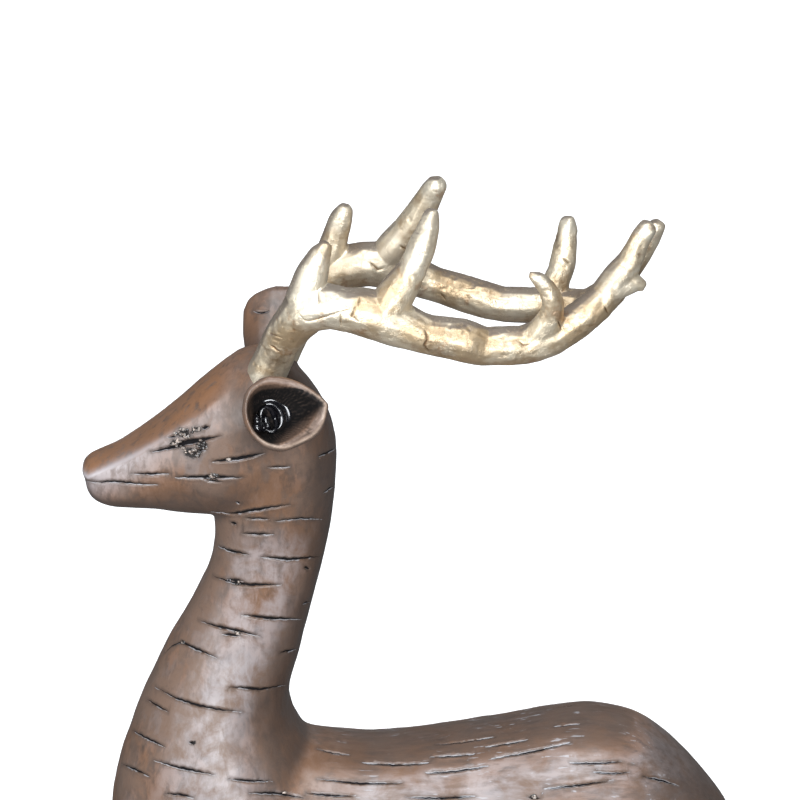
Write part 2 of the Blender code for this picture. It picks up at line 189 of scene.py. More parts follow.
def thinOut(thing, triangles):
    count = sum(len(face.vertices) - 2 for face in thing.data.polygons)
    if count > triangles:
        thin = thing.modifiers.new("thin", "DECIMATE")
        thin.ratio = triangles / count
        bake(thing)


def vertexRows(data, what):
    found = np.empty(len(data.vertices) * 3, np.float32)
    data.vertices.foreach_get(what, found)
    return found.reshape(-1, 3).astype(float)


def places(data):
    return vertexRows(data, "co")


def facings(data):
    return vertexRows(data, "normal")


def setPlaces(data, found):
    data.vertices.foreach_set("co", found.astype(np.float32).ravel())
    data.update()


def setMasks(data, masks):
    # numbers on the points, which the materials read by name
    for name, values in masks.items():
        mask = data.attributes.new(name, "FLOAT", "POINT")
        mask.data.foreach_set("value", values.astype(np.float32))


def setWeights(thing, name, values):
    group = thing.vertex_groups.new(name=name)
    for i, share in enumerate(values):
        if share > 0.01:
            group.add([i], float(share), "REPLACE")


def meshTree(thing):
    return BVHTree.FromPolygons(
        [vertex.co.copy() for vertex in thing.data.vertices],
        [tuple(face.vertices) for face in thing.data.polygons],
    )


def rise(values, low, high):
    # 0 below low, 1 above high, and an easy slope between
    share = np.clip((values - low) / (high - low), 0, 1)
    return share * share * (3 - 2 * share)


def nearShare(points, place, reach, fall, stretch=(1, 1, 1)):
    # 1 at a place, and falling to 0 about its reach away
    far = np.linalg.norm((points - np.array(place)) * np.array(stretch), axis=1)
    return np.exp(-(far / reach) ** 2 * fall)


def roughness3d(points, size, seed):
    # soft random swell from -1 to 1, with lumps of about that size
    grid = points / size
    cell = np.floor(grid).astype(np.int64)
    part = grid - cell
    ease = part * part * (3 - 2 * part)
    total = np.zeros(len(points))
    for corner in range(8):
        step = np.array([corner & 1, corner >> 1 & 1, corner >> 2 & 1])
        key = cell + step  # the next lines scramble it into a number that looks random
        mixed = key[:, 0] * 73856093 ^ key[:, 1] * 19349663 ^ key[:, 2] * 83492791 ^ seed * 2654435761
        mixed = (mixed ^ mixed >> 13) * 1274126177
        value = ((mixed ^ mixed >> 16) & 65535) / 32767.5 - 1
        total += value * np.prod(np.where(step, ease, 1 - ease), axis=1)
    return total


# Shader work: a number on the surface with plain arithmetic, and a painter that places any other node.

class Reading:
    def __init__(self, tree, socket):
        self.tree = tree
        self.socket = socket

    def calc(self, operation, *parts):
        node = self.tree.nodes.new("ShaderNodeMath")
        node.operation = operation
        for slot, part in zip(node.inputs, parts):
            if isinstance(part, Reading):
                self.tree.links.new(part.socket, slot)
            else:
                slot.default_value = part
        return Reading(self.tree, node.outputs[0])

    def __add__(self, other):
        return self.calc("ADD", self, other)

    def __sub__(self, other):
        return self.calc("SUBTRACT", self, other)

    def __rsub__(self, other):
        return self.calc("SUBTRACT", other, self)

    def __mul__(self, other):
        return self.calc("MULTIPLY", self, other)

    __radd__ = __add__
    __rmul__ = __mul__

    def orMore(self, other):
        return self.calc("MAXIMUM", self, other)

    def orLess(self, other):
        return self.calc("MINIMUM", self, other)

    def held(self):
        return self.orMore(0.0).orLess(1.0)

    def unsigned(self):
        return self.calc("ABSOLUTE", self)


class Painter:
    def __init__(self, name):
        self.material = bpy.data.materials.new(name)
        self.material.use_nodes = True
        self.tree = self.material.node_tree
        self.shader = self.tree.nodes["Principled BSDF"]
        self.here = self.node("ShaderNodeTexCoord").outputs["Object"]

    def node(self, kind, settings=None, sockets=None):
        # settings first, then the sockets' values or links
        made = self.tree.nodes.new(kind)
        for key, value in (settings or {}).items():
            setattr(made, key, value)
        for key, value in (sockets or {}).items():
            self.feed(made.inputs[key], value)
        return made

    def feed(self, slot, value):
        if isinstance(value, Reading):
            self.tree.links.new(value.socket, slot)
        elif isinstance(value, bpy.types.NodeSocket):
            self.tree.links.new(value, slot)
        elif isinstance(value, tuple) and slot.type == "RGBA":
            slot.default_value = (*value, 1.0)
        else:
            slot.default_value = value

    def mask(self, name):
        made = self.node("ShaderNodeAttribute", {"attribute_name": name})
        return Reading(self.tree, made.outputs["Fac"])

    def noise(self, size, detail, rough, stretch=(1, 1, 1), warp=0.0):
        spread = self.node("ShaderNodeMapping", {}, {"Vector": self.here, "Scale": stretch})
        made = self.node("ShaderNodeTexNoise", {}, {
            "Vector": spread.outputs[0],
            "Scale": 1 / size,
            "Detail": detail,
            "Roughness": rough,
            "Distortion": warp,
        })
        return Reading(self.tree, made.outputs["Fac"])

    def slope(self, value, low, high):
        # 0 at low, 1 at high, in either order
        made = self.node("ShaderNodeMapRange", {"interpolation_type": "SMOOTHSTEP"}, {
            "Value": value, "From Min": low, "From Max": high,
        })
        return Reading(self.tree, made.outputs["Result"])

    def blend(self, share, first, second):
        # the colours of a Mix node are its sockets 6 and 7, and the result is output 2
        made = self.node("ShaderNodeMix", {"data_type": "RGBA"}, {0: share, 6: first, 7: second})
        return made.outputs[2]

    def layered(self, palette, ground, layers):
        # the palette's colours laid over the ground one after the other, each by its share
        colour = palette[ground]
        for share, name in layers:
            colour = self.blend(share, colour, palette[name])
        return colour

    def bump(self, height, strength, distance):
        sockets = {"Height": height, "Strength": strength, "Distance": distance}
        return self.node("ShaderNodeBump", {}, sockets).outputs["Normal"]

    def finish(self, sockets):
        for key, value in sockets.items():
            self.feed(self.shader.inputs[key], value)
        return self.material


# Cracks of the bark, each along a line on the surface.
# A listed crack has its bends in picture points, and then how bold it is. Dots are short ones.
barkCracks = {
    "step": 1.6 * mm,
    "halfWidth": 0.5 * mm,
    "depth": 0.8 * mm,
    "flank": 0.6 * mm,  # from the black to where the surface is level again
    "ragged": 0.2,
    "lip": 0.16 * mm,
    "upperLip": 0.4,  # its share on the upper side
    "lipOut": 0.8 * mm,
    "lipWide": 0.5 * mm,
    "close": 0.7 * mm,  # past the edge of a crack this far, it leaves no mark
    "reach": 5 * mm,
    "beyond": -1.2 * mm,
    "head": [
        ([(149, 452), (168, 448), (186, 443), (203, 440), (221, 436)], 2.1),
        ([(168, 438), (178, 435)], 0.9),
        ([(200, 428), (208, 427)], 1.5),
        ([(186, 453), (206, 450)], 1.2),
        ([(211, 462), (240, 459), (265, 454)], 1.7),
        ([(175, 477), (206, 477), (243, 478)], 1.4),
        ([(205, 480), (222, 482)], 0.9),
        ([(131, 474), (150, 474), (170, 473)], 0.8),
        ([(84, 481), (97, 483), (111, 482), (136, 484), (159, 484)], 0.8),
        ([(268, 468), (290, 467)], 0.5),
        ([(318, 457), (328, 453), (336, 448)], 1.0),
        ([(324, 493), (336, 484)], 1.0),
        ([(209, 512), (231, 514), (262, 509), (291, 505)], 1.2),
        ([(236, 502), (240, 504)], 1.0),
        ([(231, 523), (237, 524)], 1.3),
        ([(254, 311), (261, 313), (269, 311)], 0.9),
    ],
    "neck": [
        ([(245, 518), (270, 519)], 0.6),
        ([(275, 521), (300, 519), (322, 519)], 0.7),
        ([(241, 533), (258, 534), (274, 534)], 0.8),
        ([(218, 546), (230, 551), (249, 555)], 1.1),
        ([(261, 557), (290, 560), (308, 558), (324, 556)], 1.3),
        ([(304, 567), (310, 569)], 1.0),
        ([(213, 576), (230, 582), (249, 585), (282, 585)], 1.2),
        ([(226, 579), (244, 581)], 0.9),
        ([(303, 604), (313, 601)], 0.9),
        ([(241, 615), (270, 619), (301, 619)], 1.3),
        ([(198, 620), (215, 626), (238, 631), (261, 637)], 1.1),
        ([(222, 634), (240, 636)], 1.2),
        ([(165, 653), (172, 645), (181, 642), (196, 649), (217, 658)], 1.1),
        ([(280, 653), (296, 649)], 0.9),
        ([(228, 688), (240, 688), (262, 690), (286, 685)], 1.2),
        ([(155, 687), (175, 698), (196, 705), (220, 710), (242, 712)], 1.1),
        ([(146, 699), (157, 706), (168, 712)], 0.9),
        ([(132, 730), (148, 739), (165, 747)], 1.0),
        ([(189, 742), (193, 744)], 1.0),
        ([(154, 760), (175, 767), (215, 775)], 1.1),
        ([(122, 764), (136, 770), (150, 777)], 0.9),
        ([(228, 779), (250, 781), (272, 781)], 1.0),
        ([(249, 793), (275, 793), (305, 798)], 1.1),
        ([(165, 794), (180, 795), (194, 798)], 1.0),
    ],
    "back": [
        ([(317, 749), (333, 753), (349, 755)], 0.7),
        ([(363, 763), (395, 765), (429, 763)], 0.9),
        ([(431, 757), (455, 756), (475, 754)], 0.8),
        ([(435, 745), (465, 742), (495, 737)], 0.7),
        ([(426, 773), (455, 771), (487, 766)], 0.9),
        ([(487, 747), (507, 744), (527, 740)], 0.9),
        ([(492, 759), (530, 752), (570, 743)], 0.9),
        ([(555, 727), (581, 724)], 0.6),
        ([(547, 710), (573, 706)], 0.5),
        ([(570, 763), (596, 763), (622, 761)], 0.9),
        ([(593, 772), (612, 773), (630, 772)], 0.7),
        ([(544, 789), (580, 785), (613, 780)], 0.9),
        ([(642, 776), (661, 780), (679, 786)], 0.9),
        ([(317, 779), (360, 783), (403, 783)], 0.9),
        ([(306, 793), (330, 795), (355, 796)], 1.0),
        ([(406, 797), (440, 798), (475, 796)], 1.0),
        ([(528, 797), (540, 798)], 1.0),
    ],
    # the far side repeats the head's first ten and the neck's from the fourth on, moved by picture points
    "farSide": {"head": 10, "neck": 3, "shift": (4, 3)},
    # over the parts that the picture doesn't show, placed by chance, and not on the base or the ears
    "unseen": {
        "seed": 11,
        "tries": 900,
        "apart": 15 * mm,
        "short": 9 * mm,
        "long": 24 * mm,
        "bold": (0.7, 1.25),
        "slant": 0.12,
        "offBase": 6 * mm,
        "earOut": 0.036,
        "earUp": 0.3,
    },
    # the way that these run: round the neck between two levels, up and down the chest, and else lengthwise
    "grain": {"neck": (100, 205), "neckLean": (0.28, 0, 1), "chestAt": -0.055, "chestLean": (0.1, 0, 1)},
}


def sampled(points, step):
    # a bent line cut into even steps
    points = np.array(points, float)
    lengths = np.r_[0, np.cumsum(np.linalg.norm(np.diff(points, axis=0), axis=1))]
    at = np.linspace(0, lengths[-1], max(4, int(lengths[-1] / step) + 1))
    return np.column_stack([np.interp(at, lengths, points[:, i]) for i in range(points.shape[1])])


def sightedLine(tree, bends, mirrored=False):
    # the line laid on the surface as the camera sees it, or on the other flank, with a hand's waver
    path, outward = [], []
    pixel = barkCracks["step"] / (viewpoint["span"] / viewpoint["points"])
    for i, (across, down) in enumerate(sampled(bends, pixel)):
        waver = 0.3 * math.sin(0.55 * i + across) + 0.15 * math.sin(1.7 * i + down)
        place, facing = seenPoint(tree, across, down + waver, mirrored)
        if place is not None:
            path.append(place)
            outward.append(facing)
    return np.array(path), np.array(outward)


def listedLines(tree, cracks, shift=(0, 0), mirrored=False):
    # cracks of a list as lines on the surface, without those that miss it
    lines = []
    for bends, bold in cracks:
        moved = [(across + shift[0], down + shift[1]) for across, down in bends]
        path, outward = sightedLine(tree, moved, mirrored)
        if len(path) > 2:
            lines.append((path, outward, bold))
    return lines


def grainWay(place, facing):
    # the way in which a chance crack goes on, or none where that would lead off the surface
    given = barkCracks["grain"]
    low, high = (baseTop + level * figureUnit for level in given["neck"])
    if low < place.z < high:
        way = Vector(given["neckLean"]).normalized().cross(facing)
    elif place.x < given["chestAt"] and place.z < high:
        way = Vector(given["chestLean"]).cross(facing)
    else:
        way = Vector((1, 0, 0)) - facing * facing.x
    return way.normalized() if way.length > 0.2 else None


def seenInPicture(place, facing):
    # true on what the camera shows, which has its cracks from the list
    back, upward = viewWays()
    toward = place - eyePlace()
    down = -toward.dot(upward) / -toward.dot(back) * viewpoint["distance"] / viewpoint["span"]
    return down < 0.5 and facing.dot(back) > 0.02  # half the picture's height down from its middle


def chanceLines(tree, taken):
    # further cracks on the far side, the flanks and the legs, clear of those already there
    given = barkCracks["unseen"]
    chance = np.random.default_rng(given["seed"])
    low, high = (np.array(corner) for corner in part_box("deer_body"))
    lines = []
    for _ in range(given["tries"]):
        start = Vector(chance.uniform(low, high))
        place, facing, _, _ = tree.find_nearest(start)
        length = chance.uniform(given["short"], given["long"])
        bold = chance.uniform(*given["bold"])
        onEar = abs(place.y) > given["earOut"] and place.z > given["earUp"]
        if onEar or place.z < baseTop + given["offBase"] or seenInPicture(place, facing):
            continue
        if taken and min((place - other).length for other in taken) < given["apart"]:
            continue
        path, outward = [], []
        for _ in range(int(length / barkCracks["step"])):
            way = grainWay(place, facing)
            if way is None or seenInPicture(place, facing):
                break
            path.append(place)
            outward.append(facing)
            slant = facing.cross(way) * given["slant"] * math.sin(len(path) * 0.8 + length * 900)
            place, facing, _, _ = tree.find_nearest(place + (way + slant) * barkCracks["step"])
        if len(path) > 3:
            taken += path[::3]
            lines.append((np.array(path), np.array(outward), bold))
    return lines


def layCracks(tree):
    far = barkCracks["farSide"]
    repeated = barkCracks["head"][:far["head"]] + barkCracks["neck"][far["neck"]:]
    lines = listedLines(tree, barkCracks["head"] + barkCracks["neck"] + barkCracks["back"])
    lines += listedLines(tree, repeated, far["shift"], mirrored=True)
    taken = [Vector(point) for path, _, _ in lines for point in path[::3]]
    return lines + chanceLines(tree, taken)


def nearestOn(spots, path, outward):
    # how far each spot is from a crack, how far above or below it, and at which share of its length
    best = np.full(len(spots), 1.0)
    side = np.zeros(len(spots))
    along = np.zeros(len(spots))
    runs = np.diff(path, axis=0)
    overs = np.cross(outward[:-1], runs)
    overs /= np.maximum(np.linalg.norm(overs, axis=1), 1e-9)[:, None]
    overs *= 1 if overs[:, 2].sum() >= 0 else -1
    for i, run in enumerate(runs):
        share = np.clip((spots - path[i]) @ run / max(run @ run, 1e-12), 0, 1)
        off = spots - path[i] - share[:, None] * run
        off -= np.outer(off @ outward[i], outward[i])
        far = np.linalg.norm(off, axis=1)
        closer = far < best
        best = np.where(closer, far, best)
        side = np.where(closer, off @ overs[i], side)
        along = np.where(closer, (i + share) / len(runs), along)
    return best, side, along


def crackMarks(points, lines):
    # for each point: how much the cracks raise or sink it, how far it lies above or below the nearest one,
    # how wide that one is there, and the bare distance to it
    reach, beyond = barkCracks["reach"], barkCracks["beyond"]
    height = np.zeros(len(points))
    across = np.full(len(points), reach)
    half = np.full(len(points), beyond)
    nearest = np.full(len(points), reach)
    for number, (path, outward, bold) in enumerate(lines):
        low, high = path.min(0) - reach, path.max(0) + reach
        near = np.flatnonzero(np.all((points > low) & (points < high), axis=1))
        if not len(near):
            continue
        best, side, along = nearestOn(points[near], path, outward)
        ragged = 1 + barkCracks["ragged"] * np.sin(along * 19 + number * 2.1) * np.sin(along * 8.7 + number)
        full = np.sin(np.pi * np.clip(along, 0, 1))
        wide = barkCracks["halfWidth"] * bold * full ** 1.1 * ragged
        groove = np.clip(1 - (best / (wide + barkCracks["flank"])) ** 2, 0, 1)
        swell = np.exp(-((best - wide - barkCracks["lipOut"]) / barkCracks["lipWide"]) ** 2) * full
        lift = barkCracks["lip"] * swell * np.where(side < 0, 1.0, barkCracks["upperLip"]) * bold
        change = lift - barkCracks["depth"] * bold ** 0.5 * full ** 0.6 * groove
        height[near] = np.where(np.abs(change) > np.abs(height[near]), change, height[near])
        first = best < nearest[near]
        past = np.sqrt(np.maximum(best ** 2 - side ** 2, 0))
        inked = best < wide + barkCracks["close"]
        width = np.where(inked, np.maximum(wide - past, beyond), beyond)
        nearest[near] = np.where(first, best, nearest[near])
        across[near] = np.where(first, side, across[near])
        half[near] = np.where(first, width, half[near])
    return height, across, half, nearest


# Both ears: root and rim of each side, in hundredths of the head's length, as the solid has them.
earForm = {
    "root": {-1: (-58.5, 17.0, 247.0), 1: (-61.5, 17.0, 249.0)},
    "rim": {-1: (-50.0, 51.0, 267.0), 1: (-51.9, 50.0, 267.8)},
    "half": (17.5, 18.5),
    "point": 0.62,
    "turn": {-1: math.radians(14), 1: math.radians(27)},
    "lean": math.radians(16),
    "sweep": 0.12,
    "wall": 0.165,
    "bowlOut": (0.38, 0.42, 0.5, 0.66, 0.85, 1.0, 1.1),
    "bowlSize": (0.2, 0.3, 0.58, 0.8, 0.92, 1.0, 1.0),
    "inside": (0.34, 1.02),  # how far out the bowl's floor begins and ends
    "margin": 0.075,
    "streaks": 52,
    "streakHeight": 0.09 * mm,
    "cupOut": (0.0, 0.25, 0.5, 0.72, 0.9, 1.0),
    "cupSize": (0.46, 0.54, 0.68, 0.86, 0.98, 1.0),
    "bandWide": 0.2,  # brown band of painted light inside the upper rim
    "bandAt": 1.6,
    "bandTurn": 0.9,
    "swell": 0.15,  # how much fuller the lower outer flank is than the solid's
    "swellAt": -0.72,
    "swellWide": 0.5,
}


def earReadings(points, side):
    # along the ear from root to rim, then long and high across it, then the size of the outline there
    root, rim = (np.array(earForm[end][side]) for end in ("root", "rim"))
    x = points[:, 0] / figureUnit
    y = side * points[:, 1] / figureUnit
    z = (points[:, 2] - baseTop) / figureUnit
    tilt = math.tan(earForm["lean"])
    run = rim - root
    way = run[1] - run[0] * earForm["sweep"] + run[2] * tilt
    along = (y - root[1] - (x - root[0]) * earForm["sweep"] + (z - root[2]) * tilt) / way
    across = x - root[0] - run[0] * along
    upward = (z - root[2] - run[2] * along) / math.cos(earForm["lean"])
    turn = earForm["turn"][side]
    long = (across * math.cos(turn) + upward * math.sin(turn)) / earForm["half"][0]
    high = (upward * math.cos(turn) - across * math.sin(turn)) / earForm["half"][1]
    taper = np.ones(len(points))
    for _ in range(6):
        angle = np.arctan2(high / taper, long)
        taper = np.clip(np.abs(np.sin(angle / 2)), 0.12, 1) ** earForm["point"]
    return along, long, high, np.hypot(long, high / taper)


def earSwell(along, long, high):
    # the share by which the lower outer flank of an ear stands out
    away = (np.arctan2(high, long) - earForm["swellAt"]) / earForm["swellWide"]
    return earForm["swell"] * np.exp(-away ** 2) * rise(along, 0.2, 0.75)


def earWay(side, long, high):
    # the way across an ear, in hundredths of the head's length, with y outward
    turn = earForm["turn"][side]
    u = long * earForm["half"][0] * math.cos(turn) - high * earForm["half"][1] * math.sin(turn)
    v = long * earForm["half"][0] * math.sin(turn) + high * earForm["half"][1] * math.cos(turn)
    return u, u * earForm["sweep"] - v * math.sin(earForm["lean"]), v * math.cos(earForm["lean"])


def fillEars(points):
    # rounds the lower outer flank of both ears, in the plane of each opening
    for side in (-1, 1):
        along, long, high, size = earReadings(points, side)
        here = (points[:, 1] * side > 0.02) & (along > 0.2) & (along < 1.3) & (size < 1.3)
        share = earSwell(along, long, high) * rise(size, 0.35, 0.85) * here
        x, y, z = earWay(side, long, high)
        points = points + np.column_stack([x, side * y, z]) * (share * figureUnit)[:, None]
    return points


def earPlace(side, along, long, high):
    # a point of the ear from its readings
    root, rim = (np.array(earForm[end][side]) for end in ("root", "rim"))
    return figurePlace(side, *(root + (rim - root) * along + earWay(side, long, high)))


def earMarks(points):
    # on both ears: inside the bowl, how far from its middle, the angle about it, its parts painted as lit,
    # and then the ear's root, where shade is painted, and its edge, where a highlight is painted
    ear = {name: np.zeros(len(points)) for name in ("inside", "angle", "lit", "root", "rim")}
    ear["out"] = np.ones(len(points))
    for side in (-1, 1):
        along, long, high, size = earReadings(points, side)
        size = size / (1 + earSwell(along, long, high))
        flank = points[:, 1] * side > 0
        bowl = np.interp(along, earForm["bowlOut"], earForm["bowlSize"]) - earForm["wall"]
        first, last = earForm["inside"]
        here = flank & (along > first) & (along < last) & (size < bowl + earForm["margin"])
        ear["inside"][here] = 1
        ear["out"][here] = size[here]
        ear["angle"][here] = np.arctan2(high[here] - 0.02, long[here] + 0.25)
        away = (np.arctan2(high, long) - earForm["bandAt"]) / earForm["bandTurn"]
        band = earForm["bandWide"] * np.exp(-away ** 2)
        low = rise(0.45 * long - 0.42 - high, -0.1, 0.16)
        back = 0.7 * rise(-long, 0.5, 0.72)
        top = rise(size + band, 0.84, 0.9) * (band > 0.03)
        ear["lit"][here] = np.maximum.reduce([low, back, top])[here]
        cup = np.interp(along, earForm["cupOut"], earForm["cupSize"])
        # painted shade where the ear meets the head
        root = (1 - rise(size - cup, 0.1, 0.75)) * (1 - rise(along, 0.25, 0.8))
        ear["root"] = np.maximum(ear["root"], np.where(flank & (along > -0.15), root, 0))
        # painted highlight along the lower edge and the tip of each ear's rim
        edge = np.exp(-((size - 0.87) / 0.035) ** 2) * rise(along, 0.9, 0.97)
        edge = edge * (0.1 + 0.9 * np.maximum(rise(long, 0.3, 0.8), rise(-high, 0.1, 0.5)))
        ear["rim"] = np.maximum(ear["rim"], np.where(flank & (along < 1.1), edge, 0))
    ear["root"] *= 1 - ear["inside"]
    return ear


def earStreak(points, angle):
    # fine streaks that run out from the middle of a bowl, from -1 to 1
    turned = angle * earForm["streaks"] + 1.4 * roughness3d(points, 7 * mm, 3)
    return np.sin(turned) * roughness3d(points, 4 * mm, 6)


# The body.
bodyForm = {
    "firstGrain": 1.1 * mm,
    "firstSteps": 2,
    "broadSteps": 70,
    "grain": 0.6 * mm,
    "quickGrain": 1.3 * mm,
    "steps": 3,
    "triangles": 194000,
    # size and height of the hand's unevenness
    "swell": [(26 * mm, 0.5 * mm), (11 * mm, 0.3 * mm), (4.5 * mm, 0.09 * mm)],
    "swellSeed": 5,
    # picture point, reach and depth
    "dents": [
        ((190, 443), 9 * mm, 1.0 * mm),
        ((262, 458), 12 * mm, 0.6 * mm),
        ((112, 492), 9 * mm, 0.3 * mm),
    ],
    "ridge": [
        (88, 477), (104, 470), (120, 462), (140, 452), (160, 440),
        (180, 428), (200, 415), (232, 387), (243, 369),
    ],
    # along the ridge: offset, width and height
    "ridgeRows": [(0.0, 2.4 * mm, 0.9 * mm), (-8 * mm, 6 * mm, -0.7 * mm), (7 * mm, 5 * mm, -0.8 * mm)],
    # middle of each antler's foot, in hundredths of the head's length, and how far round it the skull
    # is filled
    "feet": {-1: (-60.0, 10.6, 263.6), 1: (-54.8, 10.6, 263.6)},
    "footPlug": 9.6 * mm,
}


def plugSockets(body):
    # so that gold and brown meet without a ditch
    feet = bodyForm["feet"].items()
    addBalls(body, [(figurePlace(side, *foot), bodyForm["footPlug"]) for side, foot in feet])


def broadShare(points):
    # where the form is broad and may be softened most: not on ears, hoofs or the base's edge
    ear = rise(np.abs(points[:, 1]), 22 * mm, 34 * mm) * rise(points[:, 2], 0.295, 0.305)
    legs = 1 - 0.75 * (1 - rise(points[:, 2], 0.03, 0.06))
    foot = rise(points[:, 2], 8 * mm, 14 * mm)
    return (1 - ear) * legs * foot


def dentHeight(points, tree):
    total = np.zeros(len(points))
    for spot, reach, depth in bodyForm["dents"]:
        for place in bothFlanks(tree, *spot):
            total -= depth * nearShare(points, place, reach, 2)
    return total


def ridgeOffset(points, tree):
    # how high a point lies above the line between the snout's flat top and its side, and where that counts
    path, _ = sightedLine(tree, bodyForm["ridge"])
    path = path[np.argsort(path[:, 0])]
    level = np.interp(points[:, 0], path[:, 0], path[:, 2])
    share = 1 - rise(points[:, 0], path[-1, 0] - 0.014, path[-1, 0])
    share = share * rise(points[:, 2], 0.255, 0.27)
    return points[:, 2] - level, share


def bodyHeight(points, lines, tree):
    # how much the skin is raised: cracks, unevenness, dents, the snout's ridge, and streaks in the ears
    height, _, _, _ = crackMarks(points, lines)
    clear = rise(points[:, 2], 7 * mm, 11 * mm)
    for number, (size, lift) in enumerate(bodyForm["swell"]):
        height += lift * clear * roughness3d(points, size, bodyForm["swellSeed"] + number)
    height += dentHeight(points, tree)
    above, share = ridgeOffset(points, tree)
    for offset, width, lift in bodyForm["ridgeRows"]:
        height += share * lift * np.exp(-((above - offset) / width) ** 2)
    ear = earMarks(points)
    streak = earStreak(points, ear["angle"]) * earForm["streakHeight"]
    streak = streak * rise(ear["out"], 0.25, 0.5) * (1 - rise(ear["out"], 0.6, 0.78))
    return np.where(ear["inside"] > 0, streak, height)


def buildBody():
    body = solidCopy("stag_body", "deer_body")
    plugSockets(body)
    reskin(body, bodyForm["firstGrain"], bodyForm["firstSteps"])
    setWeights(body, "broad", broadShare(places(body.data)))
    soften(body, bodyForm["broadSteps"], "broad")
    tree = meshTree(body)
    lines = layCracks(tree)
    print("cracks laid:", len(lines))
    reskin(body, bodyForm["grain"], bodyForm["steps"])
    setPlaces(body.data, fillEars(places(body.data)))
    points, facing = places(body.data), facings(body.data)
    height = bodyHeight(points, lines, tree)
    setPlaces(body.data, points + facing * height[:, None])
    thinOut(body, bodyForm["triangles"])
    body.data.shade_smooth()
    bodyMasks(body, lines, tree)
    return body


def bodyMasks(body, lines, tree):
    # where each finish of the paint lies
    points, facing = places(body.data), facings(body.data)
    _, across, half, nearest = crackMarks(points, lines)
    ear = earMarks(points)
    above, share = ridgeOffset(points, tree)
    level = (points[:, 2] - baseTop) / figureUnit
    trunk = rise(points[:, 0], -0.06, -0.02) * (1 - rise(level, 130, 150))
    toBrow = rise(points[:, 0], -0.165, -0.09)
    soft = (0.8 + 4.5 * toBrow) * mm
    top = rise(above, -soft, soft) * share
    warm = top * np.exp(-(np.maximum(above - 2 * soft, 0) / (11 * mm)) ** 2)
    warm = np.maximum(warm, 0.8 * trunk * np.exp(-((facing[:, 2] - 0.87) / 0.07) ** 2))
    # painted highlight on the snout's side below the ridge
    pale = share * np.exp(-(np.minimum(above, 0) / (12 * mm)) ** 2) * (1 - top)
    pale = pale * (1 - 0.6 * rise(points[:, 0], -0.15, -0.115))
    # painted highlight: a pearl sheen where the neck and breast face out sideways and where the trunk's
    # flank turns up
    outward = np.abs(facing[:, 1])
    highlightPearl = np.exp(-((outward - 1.0) / 0.17) ** 2) * (1 - trunk) * (1 - rise(level, 190, 205))
    highlightPearl = np.maximum(highlightPearl, trunk * np.exp(-((facing[:, 2] - 0.74) / 0.13) ** 2))
    # painted shade on faces turned to the rear and, off the trunk, on undersides
    rearward = rise(facing[:, 0], 0.2 + 0.05 * trunk, 0.8)
    shade = np.maximum(rearward, rise(-facing[:, 2], 0.02, 0.55) * (1 - trunk))
    setMasks(body.data, {
        # a thin painted highlight line along the snout's ridge, fading toward the brow
        "ridgeHighlight": np.exp(-(above / (1.5 * mm)) ** 2) * share * (1 - toBrow),
        "crackAcross": np.clip(across / mm, -5, 5),
        "crackHalf": half / mm,
        "crackNear": np.clip(nearest / mm, 0, 5),
        "warmth": warm,
        "snoutSideHighlight": pale,
        "trunk": trunk,
        # faces turned up, which get painted shade
        "upward": rise(facing[:, 2], 0.8, 0.97),
        "highlightPearl": highlightPearl,
        "shade": shade,
        "earInside": ear["inside"],
        "earLit": ear["lit"],
        "earRootShade": ear["root"],
        "earRimHighlight": ear["rim"],
        "earStreak": earStreak(points, ear["angle"]) * 0.5 + 0.5,
        "knot": knotShare(points, tree),
    })


# Knots of the bark as picture points and their reach. The first few make the one that stands for an eye.
barkKnots = {
    "places": [
        (184, 434, 4.6 * mm), (196, 430, 3.2 * mm), (178, 444, 4.2 * mm), (192, 453, 5.0 * mm),
        (201, 445, 4.0 * mm), (213, 476, 2.4 * mm), (228, 460, 1.6 * mm), (238, 583, 1.8 * mm),
        (272, 619, 1.8 * mm), (238, 632, 2.2 * mm), (182, 642, 1.8 * mm), (284, 793, 1.8 * mm),
        (533, 797, 2.0 * mm), (193, 743, 1.6 * mm),
    ],
    "fall": 1.4,
    "stretch": (0.8, 1, 1.4),
}


def knotShare(points, tree):
    # 1 at each knot, on both flanks, falling to 0 around it
    total = np.zeros(len(points))
    for across, down, reach in barkKnots["places"]:
        for place in bothFlanks(tree, across, down):
            share = nearShare(points, place, reach, barkKnots["fall"], barkKnots["stretch"])
            total = np.maximum(total, share)
    return total


# Brown paint over the casting, from warm to dusty, with painted highlights in pearl where it swells, on the
# snout's side and along its ridge, painted shade on tops, rear sides and undersides, and a dark wash in the
# cracks.
bodyPaint = {
    "mid": (0.185, 0.12, 0.088),
    "deep": (0.07, 0.05, 0.041),
    "orange": (0.25, 0.122, 0.06),
    "dusty": (0.27, 0.21, 0.19),
    # the colour of the painted highlights
    "highlightPearl": (0.44, 0.4, 0.41),
    "silver": (0.56, 0.57, 0.61),
    "wash": (0.005, 0.004, 0.005),
    "earBrown": (0.21, 0.13, 0.09),
    "earBlack": (0.007, 0.006, 0.006),
    "earRimHighlight": (0.5, 0.38, 0.3),
    "roughness": 0.45,
    "specular": 0.22,
    "coat": 0.95,
    "coatIor": 1.6,
    "coatRoughness": 0.33,
    "bump": 0.45,
    "bumpDepth": 0.7 * mm,
}


